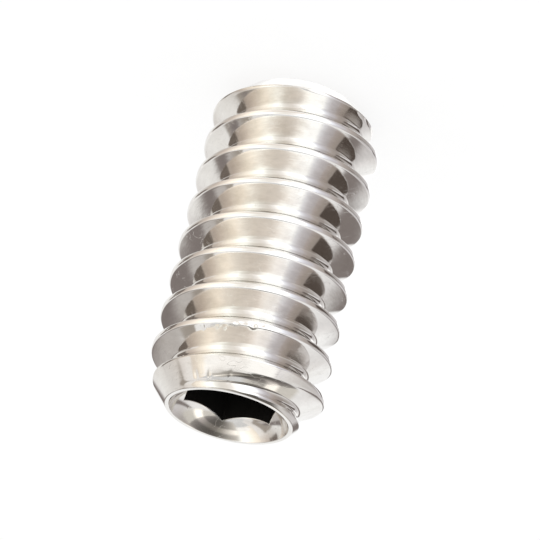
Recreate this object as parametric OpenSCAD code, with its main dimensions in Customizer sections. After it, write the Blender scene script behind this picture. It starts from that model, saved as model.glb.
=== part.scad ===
// Grub set screw: a headless, fully threaded screw with a hexagon socket in one end and a flat point
// on the other. One solid, in millimetres. It stands on its point, socket up, with its axis on Z and
// its origin at the middle of the point face.

/* [Thread] */
// Outside diameter over the thread crests
thread_d = 4.83; // [4.6:0.01:5.2]
// Distance from one crest to the next
pitch = 1.058; // [0.95:0.001:1.2]
// Width of the flat land left along each crest
crest_w = 0.13; // [0.1:0.01:0.24]
// Radius at the bottom of the groove
root_r = 0.17; // [0.12:0.01:0.2]
// Angle between the two flanks of the groove
flank_angle = 60; // [55:1:65]
// Heading at which a crest crosses the point face
thread_heading = 130; // [0:1:359]

/* [Ends] */
// Length from the point face to the socket face
length = 9.53; // [8:0.01:16]
// Diameter of the flat face at the point
point_d = 3.4; // [2.8:0.01:3.8]
// Diameter of the flat rim at the socket end
rim_d = 3.44; // [3.36:0.01:3.8]
// Slope of the point chamfer, measured from the axis
point_chamfer_angle = 45; // [35:1:60]
// Slope of the socket-end chamfer, measured from the axis
rim_chamfer_angle = 40; // [35:1:60]

/* [Socket] */
// Width of the hexagon across its flats
socket_af = 2.38; // [2:0.01:2.5]
// Depth of the hexagon below the socket face
socket_depth = 3.3; // [2.5:0.1:4.5]
// Heading of one corner of the hexagon
socket_heading = 24; // [0:1:59]
// Diameter of the bowl at the mouth of the socket
mouth_d = 3.26; // [3.1:0.01:3.34]
// Radius of the bowl's curved wall
bowl_r = 1.05; // [0.9:0.05:1.3]
// Steepness of the bowl's wall at the mouth, measured from level
bowl_angle = 70; // [60:1:80]
// Full angle of the drilled cone below the hexagon
drill_angle = 118; // [90:1:140]

/* [Hidden] */

steel = "silver";
// Smoothness of the round faces
$fn = 96;
// Flat steps in one turn of the groove, and in the arc at its bottom
turn_steps = 48;
root_steps = 4;
// Steps in the curve of the bowl
bowl_steps = 8;
// How far each cutter reaches past the metal that it removes
reach = 0.1;

thread_r = thread_d / 2;
half_mouth = (pitch - crest_w) / 2;
flank_run = tan(flank_angle / 2);
// The flanks would meet at tip_r, and the arc at the bottom is centred on arc_r
tip_r = thread_r - half_mouth / flank_run;
arc_r = tip_r + root_r / sin(flank_angle / 2);
root_sweep = 90 - flank_angle / 2;
// Turns by which the groove overruns the point face and the socket face
turns_below = 1;
turns_above = 0.6;
groove_turns = turns_below + length / pitch + turns_above;
groove_steps = ceil(groove_turns * turn_steps);

// Section of the groove as [radius, height] about its own middle, from the lower flank to the upper
groove_section = concat(
    [[thread_r + reach, -half_mouth - reach * flank_run]],
    [for (i = [0 : root_steps])
        let (a = root_sweep * (2 * i / root_steps - 1))
        [arc_r - root_r * cos(a), root_r * sin(a)]],
    [[thread_r + reach, half_mouth + reach * flank_run]]
);

// One point of the groove's section, carried round and up the screw
function groove_point(step, p) =
    let (turn = step / turn_steps - turns_below)
    let (heading = thread_heading + 180 + 360 * turn)
    [p[0] * cos(heading), p[0] * sin(heading), p[1] + pitch * turn];

// The turned blank: a bar with a chamfer at each end
module blank() {
    point_r = point_d / 2;
    rim_r = rim_d / 2;
    point_rise = (thread_r - point_r) / tan(point_chamfer_angle);
    rim_drop = (thread_r - rim_r) / tan(rim_chamfer_angle);
    rotate_extrude()
        polygon([
            [0, 0],
            [point_r, 0],
            [thread_r, point_rise],
            [thread_r, length - rim_drop],
            [rim_r, length],
            [0, length],
        ]);
}

// The helical groove, which runs out through both ends
module groove() {
    n = len(groove_section);
    polyhedron(
        points = [for (s = [0 : groove_steps]) for (p = groove_section) groove_point(s, p)],
        faces = concat(
            [[for (i = [0 : n - 1]) i]],
            [for (s = [0 : groove_steps - 1]) for (i = [0 : n - 1])
                let (j = (i + 1) % n)
                each [
                    [s * n + i, (s + 1) * n + i, (s + 1) * n + j],
                    [s * n + i, (s + 1) * n + j, s * n + j],
                ]],
            [[for (i = [n - 1 : -1 : 0]) groove_steps * n + i]]
        ),
        convexity = 10
    );
}

// The round bowl that leads into the socket
module bowl() {
    mouth_r = mouth_d / 2;
    middle_r = mouth_r - bowl_r * sin(bowl_angle);
    middle_z = length + bowl_r * cos(bowl_angle);
    wall = [for (i = [0 : bowl_steps])
        let (a = bowl_angle * i / bowl_steps)
        [middle_r + bowl_r * sin(a), middle_z - bowl_r * cos(a)]];
    rotate_extrude()
        polygon(concat(
            [[0, length + reach], [0, middle_z - bowl_r]],
            wall,
            [[mouth_r + reach / tan(bowl_angle), length + reach]]
        ));
}

// The hexagon socket: bowl at the mouth, hexagon and the drilled cone at its bottom
module socket() {
    floor_z = length - socket_depth;
    drill_rise = socket_af / 2 / tan(drill_angle / 2);
    bowl();
    translate([0, 0, floor_z])
        rotate([0, 0, socket_heading])
            cylinder(h = socket_depth + reach, d = socket_af / cos(30), $fn = 6);
    translate([0, 0, floor_z - drill_rise])
        cylinder(h = drill_rise, r1 = 0, r2 = socket_af / 2);
}

module set_screw() {
    color(steel)
        difference() {
            blank();
            groove();
            socket();
        }
}

set_screw();
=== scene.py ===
import math
import bpy
import numpy as np
from mathutils import Matrix, Vector


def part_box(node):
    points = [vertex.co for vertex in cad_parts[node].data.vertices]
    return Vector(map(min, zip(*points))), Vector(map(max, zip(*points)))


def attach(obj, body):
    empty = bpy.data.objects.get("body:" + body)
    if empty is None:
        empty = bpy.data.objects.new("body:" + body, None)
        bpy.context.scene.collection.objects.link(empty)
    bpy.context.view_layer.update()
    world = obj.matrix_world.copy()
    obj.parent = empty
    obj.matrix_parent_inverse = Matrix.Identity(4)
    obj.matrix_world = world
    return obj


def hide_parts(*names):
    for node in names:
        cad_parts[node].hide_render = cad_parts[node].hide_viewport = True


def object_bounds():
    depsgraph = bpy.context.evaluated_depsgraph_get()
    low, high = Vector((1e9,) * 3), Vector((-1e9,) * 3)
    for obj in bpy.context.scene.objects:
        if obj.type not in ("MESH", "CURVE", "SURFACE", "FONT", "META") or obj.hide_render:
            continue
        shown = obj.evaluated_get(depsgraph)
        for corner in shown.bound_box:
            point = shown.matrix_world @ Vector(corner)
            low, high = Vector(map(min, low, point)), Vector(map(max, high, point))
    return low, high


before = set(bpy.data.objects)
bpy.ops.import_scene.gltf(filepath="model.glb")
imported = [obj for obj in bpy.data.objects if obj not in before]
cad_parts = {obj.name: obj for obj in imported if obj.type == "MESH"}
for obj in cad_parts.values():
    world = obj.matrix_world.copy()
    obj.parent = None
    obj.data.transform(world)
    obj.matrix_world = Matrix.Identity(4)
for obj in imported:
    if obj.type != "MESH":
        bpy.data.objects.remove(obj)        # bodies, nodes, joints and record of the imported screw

cadLow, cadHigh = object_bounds()
mm = 0.001               # the scene is in metres, the screw is drawn in millimetres
print("set screw: frame loaded")


# The screw. Radius and length come from the frame, the rest is the thread and the socket.

screw = {
    "pitch": 1.058,
    "crestWidth": 0.13,       # land along each crest
    "crestCrown": 0.004,      # how far the land drops from its middle to its sides
    "crestEdge": 0.04,        # rounding where the land turns into the flanks
    "rootRadius": 0.17,
    "flankAngle": 60,
    "threadHeading": 130,     # heading at which a crest crosses the point face
    "pointWide": 3.40,        # flat face at the point
    "pointSlope": 45,         # chamfer above it, measured from the axis
    "rimWide": 3.44,          # outside of the flat rim
    "rimSlope": 40,           # chamfer below the rim, measured from the axis
    "mouthWide": 3.26,        # inside of the flat rim
    "bowlRadius": 1.05,
    "bowlAngle": 70,          # steepness of the bowl's wall at the mouth, from level
    "socketWide": 2.38,       # hexagon across its flats
    "socketDeep": 3.3,
    "socketHeading": 24,      # heading of one corner of the hexagon
    "drillAngle": 118,
    "chamferEdge": 0.05,      # rounding where a chamfer cuts the thread
    "faceEdge": 0.03,         # rounding at the rims of the two end faces
    "roundSteps": 300,        # columns of the mesh, a multiple of six
}

# Numbers of the three finishes on the mesh
onThread, onEnds, inSocket = 0, 1, 2

# Knocks on the last turns: heading, height, depth, width round the screw and width along it
dents = [
    (-92, 7.85, 0.055, 0.09, 0.05),
    (-86, 7.86, 0.030, 0.12, 0.03),
    (-97, 7.80, 0.028, 0.07, 0.05),
    (-81, 7.90, 0.025, 0.05, 0.03),
    (-74, 7.99, 0.015, 0.06, 0.04),
    (-69, 8.01, 0.012, 0.05, 0.04),
    (-59, 8.03, 0.015, 0.05, 0.04),
    (-84, 9.22, 0.010, 0.05, 0.09),
    (-68, 9.24, 0.010, 0.05, 0.09),
    (-57, 9.25, 0.012, 0.06, 0.09),
]

boxLow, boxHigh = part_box("set_screw")
outerR = (boxHigh[0] - boxLow[0]) / 2 / mm
length = (boxHigh[2] - boxLow[2]) / mm


def softMin(a, b, blend):
    # the smaller of two radii, with the edge between them rounded over
    share = np.clip(0.5 + 0.5 * (b - a) / blend, 0, 1)
    return b + (a - b) * share - blend * share * (1 - share)


def crestHeight(heading):
    # height of the crest line at a heading, for the crest that starts at the point face
    return screw["pitch"] * (heading - screw["threadHeading"]) / 360


def threadRadius(offset):
    # offset is the distance along the axis from a crest line
    half = math.radians(screw["flankAngle"] / 2)
    pitch, land = screw["pitch"], screw["crestWidth"] / 2
    away = np.abs((offset + pitch / 2) % pitch - pitch / 2)
    top = outerR - screw["crestCrown"] * (away / land) ** 2
    flank = outerR - (away - land) / math.tan(half)
    ridge = softMin(top, flank, screw["crestEdge"])
    tip = outerR - (pitch / 2 - land) / math.tan(half)
    arcMiddle = tip + screw["rootRadius"] / math.sin(half)
    arcHalf = screw["rootRadius"] * math.cos(half)
    fromRoot = np.minimum(pitch / 2 - away, arcHalf)
    arc = arcMiddle - np.sqrt(screw["rootRadius"] ** 2 - fromRoot ** 2)
    return np.where(pitch / 2 - away < arcHalf, arc, ridge)


def skinRadius(heading, height):
    # the threaded skin between the two end faces, both chamfers included
    radius = threadRadius(height - crestHeight(heading))
    pointRise = height * math.tan(math.radians(screw["pointSlope"]))
    radius = softMin(radius, screw["pointWide"] / 2 + pointRise, screw["chamferEdge"])
    rimRise = (length - height) * math.tan(math.radians(screw["rimSlope"]))
    radius = softMin(radius, screw["rimWide"] / 2 + rimRise, screw["chamferEdge"])
    for at, level, depth, wide, tall in dents:
        aside = np.radians((heading - at + 180) % 360 - 180) * outerR / wide
        radius = radius - depth * np.exp(-aside ** 2 - ((height - level) / tall) ** 2)
    return radius


def profileOffsets():
    # heights of the mesh rows over one pitch, close together where the profile turns
    land = screw["crestWidth"] / 2
    edgeFrom, edgeTo = land - 0.03, land + 0.04
    root = screw["pitch"] / 2
    arcFrom = root - screw["rootRadius"] * math.cos(math.radians(screw["flankAngle"] / 2))
    half = [
        *np.linspace(0, edgeFrom, 3)[:-1],
        *np.linspace(edgeFrom, edgeTo, 6)[:-1],
        *np.linspace(edgeTo, arcFrom, 6)[:-1],
        *np.linspace(arcFrom, root, 5),
    ]
    return np.array([-h for h in reversed(half[1:-1])] + half)


def hexRadius(heading):
    # from the axis to the hexagon's wall
    corner = (heading - screw["socketHeading"]) % 60 - 30
    return screw["socketWide"] / 2 / np.cos(np.radians(corner))


def skinNormals(heading, height):
    # outward normals of the threaded skin, from its own slopes
    step = 0.002
    turn = np.degrees(step / outerR)
    radius = skinRadius(heading, height)
    along = (skinRadius(heading, height + step) - skinRadius(heading, height - step)) / (2 * step)
    aside = skinRadius(heading + turn, height) - skinRadius(heading - turn, height)
    aside = aside / (2 * np.radians(turn)) / radius
    c, s = np.cos(np.radians(heading)), np.sin(np.radians(heading))
    normal = np.stack([c + aside * s, s - aside * c, -along], axis=-1)
    return normal / np.linalg.norm(normal, axis=-1, keepdims=True)


class ringMesh:
    # gathers points, normals and faces in columns round the screw

    def __init__(self):
        self.points, self.normals, self.faces, self.finish = [], [], [], []

    def addPoints(self, points, normals):
        first = len(self.points)
        self.points.extend(points.tolist())
        self.normals.extend(normals.tolist())
        return np.arange(first, first + len(points))

    def joinRows(self, lower, upper, finish):
        # one face between each two neighbours of two rows of point numbers
        for k in range(len(lower)):
            n = (k + 1) % len(lower)
            self.addFace([lower[k], lower[n], upper[n], upper[k]], finish)

    def addFace(self, corners, finish):
        # corners that fall together count once, and a face that is pinched shut is left out
        corners = [int(c) for c in corners]
        kept = [c for i, c in enumerate(corners) if c != corners[i - 1]]
        if len(kept) > 2:
            self.faces.append(kept)
            self.finish.append(finish)

    def ring(self, headings, radius, height, tilt):
        # one ring of points, its normal tilted up from the outward direction by tilt degrees
        c, s = np.cos(np.radians(headings)), np.sin(np.radians(headings))
        radius = radius + 0 * headings
        height = height + 0 * headings
        lean = np.radians(tilt + 0 * headings)
        normal = np.stack([c * np.cos(lean), s * np.cos(lean), np.sin(lean)], axis=-1)
        return self.addPoints(np.stack([radius * c, radius * s, height], axis=-1), normal)


def addEndRing(mesh, headings, level):
    # a level ring of points on the skin, where the threads are cut off
    at = level + 0 * headings
    radius = skinRadius(headings, at)
    c, s = np.cos(np.radians(headings)), np.sin(np.radians(headings))
    return mesh.addPoints(np.stack([radius * c, radius * s, at], axis=-1), skinNormals(headings, at))


def addThread(mesh, headings, low, high):
    # threaded skin: rows follow the crest line, and level rings close it at both ends
    steps = len(headings) - 1
    pitch = screw["pitch"]
    offsets = profileOffsets()
    firstTurn = math.floor((low - crestHeight(headings[-1])) / pitch) - 1
    lastTurn = math.ceil((high - crestHeight(headings[0])) / pitch) + 1
    rows = np.concatenate([offsets + pitch * n for n in range(firstTurn, lastTurn + 1)])
    heights = crestHeight(headings)[None, :] + rows[:, None]
    lowRing = addEndRing(mesh, headings[:-1], low)
    highRing = addEndRing(mesh, headings[:-1], high)

    tooNear = 0.004           # rows closer than this to an end ring run into it
    numbers = np.full(heights.shape, -1)
    for column in range(steps):
        under = heights[:, column] <= low + tooNear
        over = heights[:, column] >= high - tooNear
        kept = ~under & ~over
        z = heights[kept, column]
        heading = headings[column] + 0 * z
        radius = skinRadius(heading, z)
        c, s = np.cos(np.radians(heading)), np.sin(np.radians(heading))
        points = np.stack([radius * c, radius * s, z], axis=-1)
        numbers[kept, column] = mesh.addPoints(points, skinNormals(heading, z))
        numbers[under, column] = lowRing[column]
        numbers[over, column] = highRing[column]

    # after a whole turn the last column meets the first, one pitch further on
    numbers[:-len(offsets), steps] = numbers[len(offsets):, 0]
    numbers[-len(offsets):, steps] = highRing[0]
    for lower, upper in zip(numbers[:-1], numbers[1:]):
        for k in range(steps):
            mesh.addFace([lower[k], lower[k + 1], upper[k + 1], upper[k]], onThread)
    return lowRing, highRing


def addPointFace(mesh, headings, ring):
    # a small round edge, then flat to the middle
    edge, pointR = screw["faceEdge"], screw["pointWide"] / 2
    rows = []
    for share in (0.33, 0.67, 1):
        reach = pointR + edge * (1 - share) - edge * 0.4 * share
        rows.append(mesh.ring(headings, reach, edge * (1 - share) ** 1.5, -45 - 45 * share))
    for share in (0.97, 0.66, 0.33):
        rows.append(mesh.ring(headings, pointR * share, 0, -90))
    middle = mesh.addPoints(np.zeros((1, 3)), np.array([[0, 0, -1.0]]))
    rows.append(np.repeat(middle, len(headings)))
    for row in rows:
        mesh.joinRows(row, ring, onEnds)
        ring = row


def addMouth(mesh, headings, ring):
    # the rim, and the bowl down to the hexagon: gives back its last ring and the top of the walls
    edge, rimR, mouthR = screw["faceEdge"], screw["rimWide"] / 2, screw["mouthWide"] / 2
    slope = math.tan(math.radians(screw["rimSlope"]))
    # the flat rim and the small round edges on both sides of it
    rows = [mesh.ring(headings, radius, height, tilt) for radius, height, tilt in (
        (rimR + edge * slope * 0.45, length - edge * 0.42, 52),
        (rimR + edge * slope * 0.05, length - edge * 0.12, 68),
        (rimR - edge * 0.35, length, 90),
        (mouthR + edge * 0.5, length, 90),
        (mouthR + edge * 0.15, length - edge * 0.12, 112),
        (mouthR - edge * 0.1, length - edge * 0.45, 138),
    )]
    # the bowl's arc, from the mouth to where the hexagon cuts it
    bowlR, bowlLean = screw["bowlRadius"], math.radians(screw["bowlAngle"])
    middleR = mouthR - bowlR * math.sin(bowlLean)
    middleZ = length + bowlR * math.cos(bowlLean)
    firstLean = math.acos((middleZ - length + edge) / bowlR)
    wall = hexRadius(headings)
    wallLean = np.arcsin((wall - middleR) / bowlR)
    for share in (0, 0.15, 0.3, 0.45, 0.6, 0.75, 0.88, 0.96):
        lean = firstLean + (wallLean - firstLean) * share
        radius = middleR + bowlR * np.sin(lean)
        rows.append(mesh.ring(headings, radius, middleZ - bowlR * np.cos(lean), 90 + np.degrees(lean)))
    wallTop = middleZ - bowlR * np.cos(wallLean)
    rows.append(mesh.ring(headings, wall, wallTop - 0.008, 160))
    for row in rows:
        mesh.joinRows(ring, row, onEnds)
        ring = row
    return ring, wallTop


def addSocket(mesh, headings, ring, wallTop):
    # the hexagon's walls, its floor and the drilled cone
    floorHeight = length - screw["socketDeep"]
    wall = hexRadius(headings)
    facing = np.radians(headings - ((headings - screw["socketHeading"]) % 60 - 30))
    inward = np.stack([-np.cos(facing), -np.sin(facing), 0 * facing], axis=-1)
    c, s = np.cos(np.radians(headings)), np.sin(np.radians(headings))
    rows = []
    for height in (wallTop - 0.03, wallTop - 0.3, floorHeight + 1.2, floorHeight + 0.02):
        points = np.stack([wall * c, wall * s, height + 0 * headings], axis=-1)
        rows.append(mesh.addPoints(points, inward))
    rows.append(mesh.ring(headings, wall - 0.02, floorHeight, 90))
    socketR = screw["socketWide"] / 2
    drillDrop = 1 / math.tan(math.radians(screw["drillAngle"] / 2))
    for share in (0.99, 0.7, 0.35):
        height = floorHeight - socketR * (1 - share) * drillDrop
        rows.append(mesh.ring(headings, socketR * share, height, 120))
    bottom = mesh.addPoints(np.array([[0, 0, floorHeight - socketR * drillDrop]]), np.array([[0, 0, 1.0]]))
    rows.append(np.repeat(bottom, len(headings)))
    for row in rows:
        mesh.joinRows(ring, row, inSocket)
        ring = row


def buildScrew():
    mesh = ringMesh()
    steps, edge = screw["roundSteps"], screw["faceEdge"]
    headings = screw["socketHeading"] + 360 * np.arange(steps + 1) / steps
    lowRing, highRing = addThread(mesh, headings, edge, length - edge)
    addPointFace(mesh, headings[:-1], lowRing)
    hexagonTop, wallTop = addMouth(mesh, headings[:-1], highRing)
    addSocket(mesh, headings[:-1], hexagonTop, wallTop)

    data = bpy.data.meshes.new("grub_set_screw")
    data.from_pydata([Vector(p) * mm for p in mesh.points], [], mesh.faces)
    data.polygons.foreach_set("material_index", mesh.finish)
    data.polygons.foreach_set("use_smooth", [True] * len(mesh.faces))
    data.normals_split_custom_set_from_vertices(mesh.normals)
    piece = bpy.data.objects.new("grub_set_screw", data)
    bpy.context.scene.collection.objects.link(piece)
    print("set screw: skin of", len(mesh.points), "points and", len(mesh.faces), "faces")
    return piece


# Small helpers for node trees

class treeBuilder:
    # adds nodes to one tree and joins them

    def __init__(self, tree):
        self.nodes, self.links = tree.nodes, tree.links

    def feed(self, socket, value):
        # value is a socket to link from, or a plain number or colour
        if isinstance(value, bpy.types.NodeSocket):
            self.links.new(value, socket)
        else:
            socket.default_value = value

    def add(self, kind, place, inputs=None, **settings):
        node = self.nodes.new(kind)
        node.location = place
        for key, value in settings.items():
            setattr(node, key, value)
        for key, value in (inputs or {}).items():
            self.feed(node.inputs[key], value)
        return node

    def math(self, operation, place, *values, clamp=False):
        node = self.add("ShaderNodeMath", place, operation=operation, use_clamp=clamp)
        for socket, value in zip(node.inputs, values):
            self.feed(socket, value)
        return node.outputs[0]

    def smooth(self, place, value, low, high):
        # 0 below low and 1 above high
        node = self.add("ShaderNodeMapRange", place, interpolation_type="SMOOTHSTEP",
                        inputs={"Value": value, "From Min": low, "From Max": high})
        return node.outputs["Result"]

    def noise(self, place, vector, scale, detail=2.0, roughness=0.5):
        node = self.add("ShaderNodeTexNoise", place, inputs={
            "Vector": vector, "Scale": scale, "Detail": detail, "Roughness": roughness})
        return node.outputs["Fac"]

    def mixColour(self, place, share, first, second):
        # a Mix node's colours are its seventh and eighth inputs, and its third output
        node = self.add("ShaderNodeMix", place, data_type="RGBA", inputs={0: share, 6: first, 7: second})
        return node.outputs[2]

    def vector(self, operation, place, *values):
        node = self.add("ShaderNodeVectorMath", place, operation=operation, inputs=dict(enumerate(values)))
        return node.outputs["Value" if operation == "LENGTH" else "Vector"]

    def inMillimetres(self, place, vector):
        return self.vector("MULTIPLY", place, vector, (1 / mm, 1 / mm, 1 / mm))

    def group(self, place, tree, inputs):
        return self.add("ShaderNodeGroup", place, node_tree=tree, inputs=inputs).outputs


def newMaterial(name):
    material = bpy.data.materials.new(name)
    material.use_nodes = True
    material.node_tree.nodes.clear()
    return material, treeBuilder(material.node_tree)


def newGroup(name, inputs, outputs):
    # a node group with named sockets: the tree, its builder, what comes in and what goes out
    tree = bpy.data.node_groups.new(name, "ShaderNodeTree")
    kinds = {"value": "NodeSocketFloat", "vector": "NodeSocketVector"}
    for label, kind in inputs:
        tree.interface.new_socket(label, in_out="INPUT", socket_type=kinds[kind])
    for label in outputs:
        tree.interface.new_socket(label, in_out="OUTPUT", socket_type=kinds["value"])
    build = treeBuilder(tree)
    comesIn = build.add("NodeGroupInput", (-1200, 0)).outputs
    goesOut = build.add("NodeGroupOutput", (800, 0)).inputs
    return tree, build, comesIn, goesOut


def linesGroup():
    # fine uneven lines that run along the thread, or round an end face, as a relief from 0 to 1
    tree, build, comesIn, goesOut = newGroup(
        "fine_lines",
        [("Object Place", "vector"), ("Along Thread", "value"), ("Lines", "value"), ("Breaks", "value")],
        ["Relief"])
    place = build.inMillimetres((-1000, 0), comesIn["Object Place"])
    split = build.add("ShaderNodeSeparateXYZ", (-800, 0), inputs={0: place}).outputs
    flat = build.vector("MULTIPLY", (-600, 200), place, (1, 1, 0))
    outward = build.vector("NORMALIZE", (-400, 200), flat)
    along = build.add("ShaderNodeSeparateXYZ", (-200, 200), inputs={0: outward}).outputs
    radius = build.vector("LENGTH", (-400, 350), flat)
    # distance across the lines: from the crest line on the thread, outward and down on the ends
    facing = build.math("SUBTRACT", (-200, 350), radius, split["Z"])
    heading = build.math("ARCTAN2", (-600, -150), split["Y"], split["X"])
    rise = build.math("MULTIPLY", (-400, -150), heading, screw["pitch"] / (2 * math.pi))
    start = build.math("SUBTRACT", (-200, -150), split["Z"], rise)
    start = build.math("ADD", (0, -150), start, screw["pitch"] * screw["threadHeading"] / 360)
    fromCrest = build.math("FLOORED_MODULO", (150, -150), start, screw["pitch"])
    step = build.math("SUBTRACT", (150, 350), fromCrest, facing)
    across = build.math("MULTIPLY_ADD", (300, 300), step, comesIn["Along Thread"], facing)
    across = build.math("MULTIPLY", (450, 300), across, comesIn["Lines"])
    shift = build.math("MULTIPLY", (150, -350), split["Z"], 0.35)    # no two turns alike
    first = build.math("MULTIPLY", (300, 100), along["X"], comesIn["Breaks"])
    second = build.math("MULTIPLY_ADD", (300, -100), along["Y"], comesIn["Breaks"], shift)
    spot = build.add("ShaderNodeCombineXYZ", (600, 100), inputs={"X": across, "Y": first, "Z": second})
    build.feed(goesOut["Relief"], build.noise((650, -100), spot.outputs[0], 1.0, 3.0, 0.65))
    return tree


# Handling marks: scales of their noise for each millimetre, and the values at which they show
marking = {
    "smudgeScale": 0.75,
    "smudgeFrom": 0.47,
    "smudgeTo": 0.72,
    "scratchDrawn": (0.5, 5.0, 3.5),     # long one way and narrow the others
    "scratchScale": 0.9,
    "scratchThin": (0.002, 0.008),       # how near the middle of its noise a scratch runs
    "patchScale": 1.6,                   # scratches come in patches
    "patchFrom": 0.52,
    "patchTo": 0.62,
    "waveScale": 1.1,
    "grainScale": 26.0,
    "rubbedFrom": 0.07,                  # millimetres below the crests
    "rubbedTo": 0.02,
}


def handlingGroup():
    # what handling leaves: smudges, short scratches, a surface not quite true and crests rubbed bright
    tree, build, comesIn, goesOut = newGroup(
        "handling_marks", [("Object Place", "vector")],
        ["Smudges", "Scratches", "Waves", "Grain", "Rubbed"])
    place = build.inMillimetres((-1050, 0), comesIn["Object Place"])
    cloud = build.noise((-900, 300), place, marking["smudgeScale"], 5.0, 0.62)
    smudges = build.smooth((-600, 300), cloud, marking["smudgeFrom"], marking["smudgeTo"])
    build.feed(goesOut["Smudges"], smudges)
    turned = build.add("ShaderNodeVectorRotate", (-900, 0), rotation_type="EULER_XYZ",
                       inputs={"Vector": place, "Rotation": (0.5, 0.9, 0.3)}).outputs[0]
    drawn = build.vector("MULTIPLY", (-700, 0), turned, marking["scratchDrawn"])
    thread = build.noise((-500, 0), drawn, marking["scratchScale"], 1.0)
    offMiddle = build.math("ABSOLUTE", (-200, 0), build.math("SUBTRACT", (-350, 0), thread, 0.5))
    thin = build.math("SUBTRACT", (50, 0), 1.0, build.smooth((-100, 0), offMiddle, *marking["scratchThin"]))
    patch = build.noise((-500, -200), place, marking["patchScale"], 1.0)
    here = build.smooth((-300, -200), patch, marking["patchFrom"], marking["patchTo"])
    build.feed(goesOut["Scratches"], build.math("MULTIPLY", (250, -50), thin, here))
    build.feed(goesOut["Waves"], build.noise((-500, -400), place, marking["waveScale"], 2.0, 0.45))
    build.feed(goesOut["Grain"], build.noise((-500, -600), place, marking["grainScale"], 2.0, 0.6))
    radius = build.vector("LENGTH", (-700, -800), build.vector("MULTIPLY", (-900, -800), place, (1, 1, 0)))
    rubbedFrom, rubbedTo = outerR - marking["rubbedFrom"], outerR - marking["rubbedTo"]
    build.feed(goesOut["Rubbed"], build.smooth((-500, -800), radius, rubbedFrom, rubbedTo))
    return tree


groups = {"lines": linesGroup(), "handling": handlingGroup()}


# Metal finishes. Depths are in millimetres.

rolled = {
    "colour": (0.88, 0.865, 0.84, 1),
    "smudged": (0.78, 0.755, 0.72, 1),
    "rubbed": (0.98, 0.975, 0.965, 1),
    "roughness": 0.05,
    "smudgeRoughness": 0.07,  # added where a mark is full
    "scratchRoughness": 0.12,
    "grainRoughness": 0.03,
    "lines": 15.0,            # how fine they are, for each millimetre
    "lineBreaks": 5.0,        # how often they change on the way round
    "lineDark": 0.95,         # how far the lines shade the colour
    "lineBright": 1.03,
    "lineDepth": 0.0007,
    "waveDepth": 0.004,
    "scratchDepth": 0.0006,
}
turned = dict(rolled, roughness=0.08, lines=24.0, lineBreaks=2.0, lineDepth=0.0009, waveDepth=0.003)
broachedWithPaintedShade = {
    # colour: near black, painted shade of the deep socket; scraped: the lighter broach scores
    "colour": (0.035, 0.033, 0.032, 1),
    "scraped": (0.06, 0.056, 0.052, 1),
    "roughness": 0.45,
    "smudgeRoughness": 0.15,
    "scores": (16.0, 16.0, 1.2),         # across the socket and along it, for each millimetre
    "scoreDepth": 0.003,
}


def addSteelShader(build, colour, roughness, relief):
    # relief is in millimetres
    bump = build.add("ShaderNodeBump", (-100, -400), inputs={
        "Strength": 1.0, "Distance": mm, "Height": relief})
    shader = build.add("ShaderNodeBsdfPrincipled", (200, 0), inputs={
        "Base Color": colour, "Metallic": 1.0, "Roughness": roughness, "Normal": bump.outputs[0]})
    build.add("ShaderNodeOutputMaterial", (500, 0), inputs={0: shader.outputs[0]})


def steelMaterial(name, finish, alongThread):
    material, build = newMaterial(name)
    where = build.add("ShaderNodeTexCoord", (-1500, 0)).outputs["Object"]
    marks = build.group((-900, -300), groups["handling"], {"Object Place": where})
    lines = build.group((-900, 200), groups["lines"], {
        "Object Place": where, "Along Thread": 1.0 if alongThread else 0.0,
        "Lines": finish["lines"], "Breaks": finish["lineBreaks"]})["Relief"]

    colour = build.mixColour((-300, 500), marks["Smudges"], finish["colour"], finish["smudged"])
    colour = build.mixColour((-200, 600), marks["Rubbed"], colour, finish["rubbed"])
    # the relief of the lines lies mostly between 0.3 and 0.7
    shade = build.add("ShaderNodeMapRange", (-500, 300), inputs={
        "Value": lines, "From Min": 0.3, "From Max": 0.7,
        "To Min": finish["lineDark"], "To Max": finish["lineBright"]}).outputs["Result"]
    colour = build.add("ShaderNodeVectorMath", (-100, 450), operation="SCALE",
                       inputs={0: colour, "Scale": shade}).outputs[0]

    roughness = finish["roughness"]
    for mark, key, x in (("Smudges", "smudgeRoughness", -500), ("Scratches", "scratchRoughness", -300),
                         ("Grain", "grainRoughness", -100)):
        roughness = build.math("MULTIPLY_ADD", (x, 0), marks[mark], finish[key], roughness)

    relief = build.math("MULTIPLY", (-700, -400), marks["Waves"], finish["waveDepth"])
    relief = build.math("MULTIPLY_ADD", (-500, -400), lines, finish["lineDepth"], relief)
    relief = build.math("MULTIPLY_ADD", (-300, -400), marks["Scratches"], -finish["scratchDepth"], relief)
    addSteelShader(build, colour, roughness, relief)
    return material


def socketMaterial():
    # walls painted near black as the socket's shade, scored along the axis by the broach
    material, build = newMaterial("broached_socket_painted_shade")
    where = build.add("ShaderNodeTexCoord", (-1500, 0)).outputs["Object"]
    marks = build.group((-800, -300), groups["handling"], {"Object Place": where})
    place = build.inMillimetres((-1200, 100), where)
    drawn = build.vector("MULTIPLY", (-800, 100), place, broachedWithPaintedShade["scores"])
    scores = build.noise((-600, 100), drawn, 1.0, 3.0, 0.6)
    colour = build.mixColour((-300, 200), scores, broachedWithPaintedShade["colour"], broachedWithPaintedShade["scraped"])
    roughness = build.math("MULTIPLY_ADD", (-300, 0), marks["Smudges"],
                           broachedWithPaintedShade["smudgeRoughness"], broachedWithPaintedShade["roughness"])
    relief = build.math("MULTIPLY", (-400, -200), scores, broachedWithPaintedShade["scoreDepth"])
    addSteelShader(build, colour, roughness, relief)
    return material


screwPiece = buildScrew()
screwPiece.data.materials.append(steelMaterial("rolled_thread_steel", rolled, True))
screwPiece.data.materials.append(steelMaterial("turned_end_steel", turned, False))
screwPiece.data.materials.append(socketMaterial())
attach(screwPiece, "root")
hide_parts("set_screw")
print("set screw: steel finishes on")


# Floor and world

floorPaper = {
    "halfSide": 500,          # millimetres
    "tone": 0.2,
    "fibreTone": 0.02,
    "fibreScale": 900.0,
    "lift": 0.81,             # brings the floor up to white where it is seen
}


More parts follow.
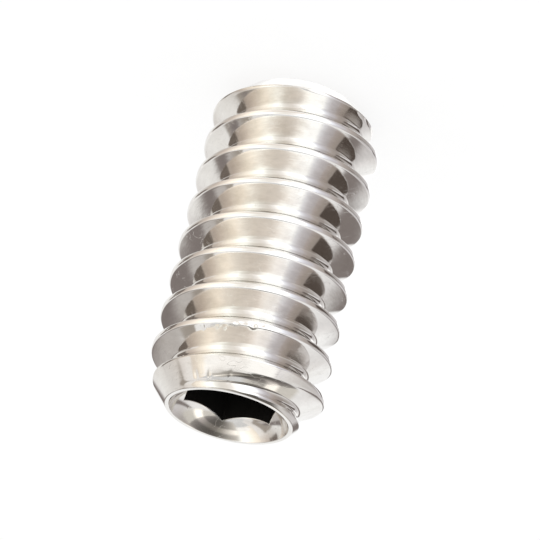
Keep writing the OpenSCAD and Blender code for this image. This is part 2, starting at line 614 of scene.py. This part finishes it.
def newSheet(name, points, faces, material):
    # a mesh of the studio, its points given in millimetres
    data = bpy.data.meshes.new(name)
    data.from_pydata([Vector(p) * mm for p in points], [], faces)
    sheet = bpy.data.objects.new(name, data)
    bpy.context.scene.collection.objects.link(sheet)
    data.materials.append(material)
    return sheet


def buildFloor():
    material, build = newMaterial("floor_paper")
    where = build.add("ShaderNodeTexCoord", (-900, 100)).outputs["Object"]
    fibres = build.noise((-700, 100), where, floorPaper["fibreScale"], 3.0)
    tone = build.math("MULTIPLY_ADD", (-500, 100), fibres, floorPaper["fibreTone"], floorPaper["tone"])
    paper = build.add("ShaderNodeBsdfDiffuse", (0, 0), inputs={"Color": tone})
    path = build.add("ShaderNodeLightPath", (-700, -200)).outputs
    seen = build.math("MAXIMUM", (-500, -200), path["Is Camera Ray"], path["Is Glossy Ray"])
    seen = build.math("MAXIMUM", (-350, -200), seen, path["Is Transmission Ray"])
    lift = build.math("MULTIPLY", (-200, -200), seen, floorPaper["lift"])
    glow = build.add("ShaderNodeEmission", (0, -150), inputs={"Strength": lift})
    both = build.add("ShaderNodeAddShader", (200, 0), inputs={0: paper.outputs[0], 1: glow.outputs[0]})
    build.add("ShaderNodeOutputMaterial", (400, 0), inputs={0: both.outputs[0]})
    half = floorPaper["halfSide"]
    points = [(-half, -half, 0), (half, -half, 0), (half, half, 0), (-half, half, 0)]
    floor = newSheet("floor", points, [(0, 1, 2, 3)], material)
    floor.location.z = cadLow.z
    floor.visible_glossy = False     # the low parts of the tent and the backdrop are mirrored instead


def buildWorld():
    world = bpy.data.worlds.new("soft_studio")
    bpy.context.scene.world = world
    world.use_nodes = True
    background = world.node_tree.nodes["Background"]
    background.inputs["Color"].default_value = (1, 1, 1, 1)
    background.inputs["Strength"].default_value = 1


# Helpers for what the metal mirrors

def onlyMirrored(sheet):
    # seen by the metal, and not by the camera or the floor
    sheet.visible_camera = False
    sheet.visible_diffuse = False
    sheet.visible_shadow = False


def arcPoints(low, high, fromHeading, toHeading, steps):
    # two rows of points along an arc round the axis, low and high each a radius and a height
    points = []
    for k in range(steps + 1):
        turn = math.radians(fromHeading + (toHeading - fromHeading) * k / steps)
        for radius, z in (low, high):
            points.append((radius * math.cos(turn), radius * math.sin(turn), z))
    faces = [(2 * k, 2 * k + 2, 2 * k + 3, 2 * k + 1) for k in range(steps)]
    return points, faces


def placeOnSheet(build):
    # heading in degrees, the same as a share of a turn from -180, and X, Y and Z in millimetres
    where = build.add("ShaderNodeTexCoord", (-1500, 0)).outputs["Object"]
    where = build.inMillimetres((-1300, 0), where)
    place = build.add("ShaderNodeSeparateXYZ", (-1150, 0), inputs={0: where}).outputs
    around = build.math("ARCTAN2", (-1000, 100), place["Y"], place["X"])
    heading = build.math("MULTIPLY", (-850, 50), around, 180 / math.pi)
    share = build.math("MULTIPLY_ADD", (-700, 200), around, 0.5 / math.pi, 0.5)
    return heading, share, place


def toneRamp(build, place, share, tones):
    # a colour ramp over all headings, from a list of headings and tones
    ramp = build.add("ShaderNodeValToRGB", place, inputs={0: share})
    stops = ramp.color_ramp.elements
    while len(stops) > 1:
        stops.remove(stops[-1])
    for k, (at, tone) in enumerate(tones):
        stop = stops[0] if k == 0 else stops.new(at / 360 + 0.5)
        stop.position = at / 360 + 0.5
        stop.color = (*tone, 1)
    return ramp.outputs[0]


def grey(tone):
    return tone, tone, tone, 1


def addGlow(build, colour):
    glow = build.add("ShaderNodeEmission", (1000, 0), inputs={"Color": colour})
    build.add("ShaderNodeOutputMaterial", (1200, 0), inputs={0: glow.outputs[0]})


# The near tent: a glowing sheet round the back and sides, seen only in the metal's mirror; its tones and the
# card bands on it are painted reflections. Sizes are in millimetres.

tent = {
    "radius": 20,
    "low": -70,
    "high": 70,
    "from": -12,              # headings that the tent covers
    "to": 210,
    "steps": 74,
    "topTone": 0.72,
    "palerFrom": 9.0,         # the painted reflection tones get paler over these heights
    "palerTo": 27.0,
    "palerGamma": 0.22,
    "skirtHigh": -16.0,       # a white painted reflection skirt below, at the back
    "skirtFade": 8.0,
    "skirtFrom": 4.0,         # distance behind the axis at which it sets in
    "skirtFull": 12.0,
    "skirtTone": 1.2,
}

# Painted reflection tone of the tent by heading round the screw, 0 on +X and -90 on the camera's side
tentPaintedReflectionTones = [
    (-180, (0.36, 0.32, 0.30)),
    (-170, (0.36, 0.32, 0.30)),
    (-160, (0.42, 0.37, 0.34)),
    (-152, (0.50, 0.45, 0.44)),
    (-144, (0.58, 0.54, 0.55)),
    (-16, (0.90, 0.80, 0.69)),
    (-6, (0.70, 0.61, 0.53)),
    (2, (0.57, 0.49, 0.43)),
    (10, (0.52, 0.46, 0.41)),
    (20, (0.60, 0.56, 0.52)),
    (30, (0.70, 0.67, 0.64)),
    (38, (0.82, 0.80, 0.77)),
    (50, (0.90, 0.89, 0.87)),
    (62, (0.82, 0.80, 0.79)),
    (80, (0.95, 0.95, 0.95)),
    (121, (1.00, 1.00, 1.00)),
    (128, (0.85, 0.83, 0.83)),
    (134, (0.67, 0.65, 0.65)),
    (148, (0.57, 0.54, 0.54)),
    (162, (0.48, 0.45, 0.44)),
    (172, (0.39, 0.36, 0.34)),
]

# Painted reflection bands on the tent: middle and half width as headings, low and high edges in millimetres,
# lean of the card in millimetres per degree, softness of its edges, and tone
tentPaintedReflectionCards = {
    "rightWhite": (123, 17, -24, 2.8, 0.0, 0.25, (1.20, 1.20, 1.20)),
    "rightSlit": (166, 18, 4.2, 8.0, -0.15, 0.2, (0.80, 0.78, 0.79)),
    "rightLow": (168, 26, -2.0, 4.4, -0.16, 0.25, (0.10, 0.08, 0.07)),
    "rightHigh": (133, 27, 10.7, 17.4, 0.46, 0.4, (0.23, 0.20, 0.19)),
    "leftLow": (19.5, 12.5, -4, 15.8, 0.0, 0.35, (0.19, 0.16, 0.14)),
    "leftGlint": (30, 9.5, 3.1, 6.6, 0.55, 0.2, (1.05, 1.02, 0.98)),
    "leftTop": (20, 17, 19.5, 46, 0.0, 0.4, (0.38, 0.34, 0.30)),
    "leftUpper": (47, 28, 13.5, 27.0, -0.47, 0.5, (0.54, 0.51, 0.49)),
    "leftHigh": (47, 28, 13.6, 20.2, -0.47, 0.4, (0.23, 0.20, 0.19)),
}


def cardGroup():
    # 1 on a painted reflection card on the tent and 0 beside it
    labels = ("Heading", "Height", "Middle", "Half Width", "Low", "High", "Lean", "Softness")
    tree, build, comesIn, goesOut = newGroup("painted_reflection_card", [(label, "value") for label in labels], ["Mask"])
    aside = build.math("SUBTRACT", (-1000, 200), comesIn["Heading"], comesIn["Middle"])
    aside = build.math("WRAP", (-850, 200), aside, -180.0, 180.0)
    tilted = build.math("MULTIPLY", (-850, 0), aside, comesIn["Lean"])
    level = build.math("SUBTRACT", (-700, 0), comesIn["Height"], tilted)
    # the edges fade over ten degrees and six millimetres for each unit of softness
    fade = build.math("MULTIPLY", (-850, -300), comesIn["Softness"], 10.0)
    inner = build.math("SUBTRACT", (-700, 350), comesIn["Half Width"], fade)
    aside = build.math("ABSOLUTE", (-700, 200), aside)
    beside = build.smooth((-500, 250), aside, inner, comesIn["Half Width"])
    across = build.math("SUBTRACT", (-350, 200), 1.0, beside)
    soft = build.math("MULTIPLY", (-700, -300), comesIn["Softness"], 6.0)
    brink = build.math("ADD", (-500, -100), comesIn["Low"], soft)
    above = build.smooth((-350, 0), level, comesIn["Low"], brink)
    brim = build.math("SUBTRACT", (-500, -300), comesIn["High"], soft)
    over = build.smooth((-300, -200), level, brim, comesIn["High"])
    below = build.math("SUBTRACT", (-150, -200), 1.0, over)
    mask = build.math("MULTIPLY", (0, 100), across, above)
    build.feed(goesOut["Mask"], build.math("MULTIPLY", (200, 0), mask, below))
    return tree


def tentMaterial():
    material, build = newMaterial("tent_painted_reflection")
    heading, share, place = placeOnSheet(build)
    height = place["Z"]
    # painted reflection: glowing tones and card bands that only the metal mirrors
    paintedTone = toneRamp(build, (-500, 200), share, tentPaintedReflectionTones)
    gamma = build.add("ShaderNodeMapRange", (-500, 400), interpolation_type="SMOOTHSTEP", inputs={
        "Value": height, "From Min": tent["palerFrom"], "From Max": tent["palerTo"],
        "To Min": 1.0, "To Max": tent["palerGamma"]}).outputs["Result"]
    colour = build.add("ShaderNodeGamma", (-350, 300), inputs={"Color": paintedTone, "Gamma": gamma}).outputs[0]
    hung = cardGroup()
    for k, (middle, half, low, high, lean, soft, tone) in enumerate(tentPaintedReflectionCards.values()):
        mask = build.group((-500, -150 * k), hung, {
            "Heading": heading, "Height": height, "Middle": middle, "Half Width": half,
            "Low": low, "High": high, "Lean": lean, "Softness": soft})["Mask"]
        colour = build.mixColour((-200 + 120 * k, 200), mask, colour, (*tone, 1))
    above = build.smooth((0, -350), height, tent["skirtHigh"] - tent["skirtFade"], tent["skirtHigh"])
    behind = build.smooth((0, -500), place["Y"], tent["skirtFrom"], tent["skirtFull"])
    skirt = build.math("MULTIPLY", (350, -400), build.math("SUBTRACT", (200, -350), 1.0, above), behind)
    colour = build.mixColour((850, 200), skirt, colour, grey(tent["skirtTone"]))
    addGlow(build, colour)
    return material


def buildTent():
    low, high = (tent["radius"], tent["low"]), (tent["radius"], tent["high"])
    points, faces = arcPoints(low, high, tent["from"], tent["to"], tent["steps"])
    onlyMirrored(newSheet("light_tent", points, faces, tentMaterial()))
    # the top: a grey glowing disc, a painted reflection
    material, build = newMaterial("tent_top_painted_reflection")
    addGlow(build, grey(tent["topTone"]))
    sides = 96
    rim = arcPoints(low, high, 0, 360, sides)[0][1:-2:2]
    onlyMirrored(newSheet("tent_top", rim, [tuple(range(sides))], material))


# The far backdrop in front, a glowing sheet seen only in the metal's mirror and painted as reflections: beige
# low down, brighter above a sloping edge, and grey overhead. Sizes are in millimetres, and levels are heights
# above the floor for each millimetre from the axis.

backdrop = {
    "radius": 200,
    "low": -420,
    "high": 720,
    "from": -178,             # headings that it covers
    "to": 18,
    "steps": 98,
    "edgeLow": -0.635,        # levels between which the low tones turn into the middle ones
    "edgeHigh": -0.575,
    "edgeFrom": -92,          # heading from which that edge climbs
    "edgeSlope": 0.0035,      # and how much it climbs with each degree
    "stripLow": 1.08,         # white strip high up, a painted highlight that the chamfer and the last flank mirror
    "stripFull": 1.2,
    "stripEnd": -30,          # it fades out between these headings
    "stripGone": -14,
    "stripTone": (1.14, 1.12, 1.09, 1),
    "topLow": 1.62,           # grey above this
    "topFull": 1.75,
    "topTone": 0.70,
}

# Its painted reflection tones by heading: the lower part, then the middle
backdropPaintedReflectionTones = [
    (-176, (0.42, 0.38, 0.36), (0.45, 0.42, 0.41)),
    (-156, (0.43, 0.38, 0.37), (0.53, 0.49, 0.49)),
    (-148, (0.47, 0.43, 0.43), (0.57, 0.54, 0.56)),
    (-140, (0.58, 0.54, 0.56), (0.68, 0.66, 0.70)),
    (-132, (0.79, 0.75, 0.77), (0.93, 0.94, 1.00)),
    (-125, (1.09, 1.06, 1.07), (1.37, 1.40, 1.42)),
    (-108, (1.21, 1.17, 1.14), (1.40, 1.43, 1.45)),
    (-100, (1.09, 1.02, 0.96), (1.40, 1.43, 1.42)),
    (-92, (0.91, 0.83, 0.76), (1.30, 1.28, 1.24)),
    (-84, (0.86, 0.79, 0.72), (1.00, 0.96, 0.92)),
    (-76, (0.84, 0.77, 0.70), (0.88, 0.83, 0.77)),
    (-68, (0.83, 0.76, 0.69), (0.88, 0.84, 0.78)),
    (-60, (0.85, 0.78, 0.70), (1.02, 1.00, 0.94)),
    (-52, (0.90, 0.83, 0.75), (1.32, 1.34, 1.28)),
    (-44, (1.00, 0.93, 0.84), (1.38, 1.39, 1.32)),
    (-36, (1.14, 1.05, 0.94), (1.27, 1.24, 1.13)),
    (-28, (1.18, 1.07, 0.93), (1.19, 1.10, 0.97)),
    (-20, (1.07, 0.96, 0.83), (1.06, 0.97, 0.84)),
    (-12, (0.89, 0.79, 0.69), (0.88, 0.79, 0.69)),
    (-4, (0.70, 0.61, 0.53), (0.75, 0.67, 0.59)),
    (8, (0.52, 0.46, 0.41), (0.52, 0.46, 0.41)),
]


def backdropMaterial():
    material, build = newMaterial("backdrop_painted_reflection")
    heading, share, place = placeOnSheet(build)
    # painted reflection: glowing tones that only the metal mirrors, with a painted highlight strip high up
    low = toneRamp(build, (-500, 350), share, [(at, tone) for at, tone, brighter in backdropPaintedReflectionTones])
    middle = toneRamp(build, (-500, 100), share, [(at, brighter) for at, tone, brighter in backdropPaintedReflectionTones])
    level = build.math("DIVIDE", (-700, -100), place["Z"], backdrop["radius"])
    past = build.math("SUBTRACT", (-850, -250), heading, backdrop["edgeFrom"])
    past = build.math("MAXIMUM", (-700, -250), past, 0.0)
    tilted = build.math("MULTIPLY_ADD", (-500, -200), past, -backdrop["edgeSlope"], level)
    brighter = build.smooth((-300, -150), tilted, backdrop["edgeLow"], backdrop["edgeHigh"])
    colour = build.mixColour((-200, 200), brighter, low, middle)
    strip = build.smooth((-500, -450), level, backdrop["stripLow"], backdrop["stripFull"])
    gone = build.smooth((-500, -600), heading, backdrop["stripEnd"], backdrop["stripGone"])
    strip = build.math("SUBTRACT", (-300, -500), strip, gone, clamp=True)
    colour = build.mixColour((-100, 350), strip, colour, backdrop["stripTone"])
    over = build.smooth((-300, -350), level, backdrop["topLow"], backdrop["topFull"])
    colour = build.mixColour((0, 200), over, colour, grey(backdrop["topTone"]))
    addGlow(build, colour)
    return material


def buildBackdrop():
    low, high = (backdrop["radius"], backdrop["low"]), (backdrop["radius"], backdrop["high"])
    points, faces = arcPoints(low, high, backdrop["from"], backdrop["to"], backdrop["steps"])
    onlyMirrored(newSheet("far_backdrop_painted_reflection", points, faces, backdropMaterial()))


# A dark glowing collar over the socket's mouth, seen only in the metal's mirror: a painted reflection, mostly
# on the bowl. Sizes are in millimetres.

collar = {
    "radius": 3.2,
    "from": -224,
    "to": -44,
    "low": 10.6,
    "high": 30,
    "lowFade": 0.5,           # height over which each edge fades away
    "highFade": 10,
    "sideFade": 16,           # degrees over which each end fades away
    "streakLow": 12.7,        # a paler painted reflection streak round it
    "streakHigh": 14.6,
    "streakFade": 0.4,
    "streakTone": 2.1,        # times the tone beside it
    "steps": 60,
}

# Its painted reflection tones by heading. The last one goes on past 180 degrees to where the collar starts.
collarPaintedReflectionTones = [
    (-180, (0.42, 0.40, 0.38)),
    (-178, (0.30, 0.28, 0.26)),
    (-166, (0.21, 0.19, 0.18)),
    (-150, (0.13, 0.12, 0.11)),
    (-130, (0.10, 0.09, 0.08)),
    (-116, (0.11, 0.10, 0.09)),
    (-104, (0.16, 0.15, 0.13)),
    (-92, (0.25, 0.23, 0.21)),
    (-80, (0.36, 0.34, 0.31)),
    (-66, (0.52, 0.49, 0.45)),
    (-52, (0.66, 0.63, 0.58)),
]


def collarMaterial():
    # a painted reflection that fades away at its edges, so that nothing sharp is mirrored
    material, build = newMaterial("collar_painted_reflection")
    heading, share, place = placeOnSheet(build)
    height = place["Z"]
    paintedTone = toneRamp(build, (-500, 200), share, collarPaintedReflectionTones)
    soft = collar["streakFade"]
    rise = build.smooth((-500, -100), height, collar["streakLow"] - soft, collar["streakLow"] + soft)
    fall = build.smooth((-500, -250), height, collar["streakHigh"] - soft, collar["streakHigh"] + soft)
    streak = build.math("SUBTRACT", (-300, -150), rise, fall)
    paler = build.math("MULTIPLY_ADD", (-150, -100), streak, collar["streakTone"] - 1, 1.0)
    colour = build.add("ShaderNodeVectorMath", (0, 150), operation="SCALE", inputs={0: paintedTone, "Scale": paler})
    # 1 on the collar and 0 past its edges
    middle, half = (collar["from"] + collar["to"]) / 2, (collar["to"] - collar["from"]) / 2
    aside = build.math("SUBTRACT", (-650, -400), heading, middle)
    aside = build.math("ABSOLUTE", (-350, -400), build.math("WRAP", (-500, -400), aside, -180.0, 180.0))
    past = build.smooth((-200, -400), aside, half - collar["sideFade"], half)
    over = build.smooth((-200, -550), height, collar["high"] - collar["highFade"], collar["high"])
    above = build.smooth((-200, -700), height, collar["low"], collar["low"] + collar["lowFade"])
    inside = build.math("SUBTRACT", (100, -350), 1.0, build.math("MAXIMUM", (0, -450), past, over))
    mask = build.math("MULTIPLY", (150, -500), above, inside)
    clear = build.add("ShaderNodeBsdfTransparent", (200, 0))
    glow = build.add("ShaderNodeEmission", (200, 150), inputs={"Color": colour.outputs[0]})
    both = build.add("ShaderNodeMixShader", (400, 0), inputs={
        0: mask, 1: clear.outputs[0], 2: glow.outputs[0]})
    build.add("ShaderNodeOutputMaterial", (600, 0), inputs={0: both.outputs[0]})
    return material


def buildCollar():
    low, high = (collar["radius"], collar["low"]), (collar["radius"], collar["high"])
    points, faces = arcPoints(low, high, collar["from"], collar["to"], collar["steps"])
    onlyMirrored(newSheet("mouth_collar_painted_reflection", points, faces, collarMaterial()))


buildFloor()
buildWorld()
buildTent()
buildBackdrop()
buildCollar()
print("set screw: studio set up")


# Camera: above the socket end, rolled over so that the socket points down and left

camera = {
    "at": (0, -59.69, 33.654),
    "looksAt": (-0.166, 0, 5.056),
    "roll": -166.48,
    "lens": 162.2,
}


def placeCamera():
    lens = bpy.data.cameras.new("camera")
    lens.lens = camera["lens"]
    lens.sensor_width = 36
    lens.clip_start = 0.001
    lens.clip_end = 5
    eye = bpy.data.objects.new("camera", lens)
    bpy.context.scene.collection.objects.link(eye)
    at, target = Vector(camera["at"]) * mm, Vector(camera["looksAt"]) * mm
    turn = (target - at).to_track_quat("-Z", "Y").to_matrix().to_4x4()
    eye.matrix_world = Matrix.Translation(at) @ turn @ Matrix.Rotation(math.radians(camera["roll"]), 4, "Z")
    bpy.context.scene.camera = eye


placeCamera()
bpy.context.scene.view_settings.view_transform = "Standard"
print("set screw: camera placed")
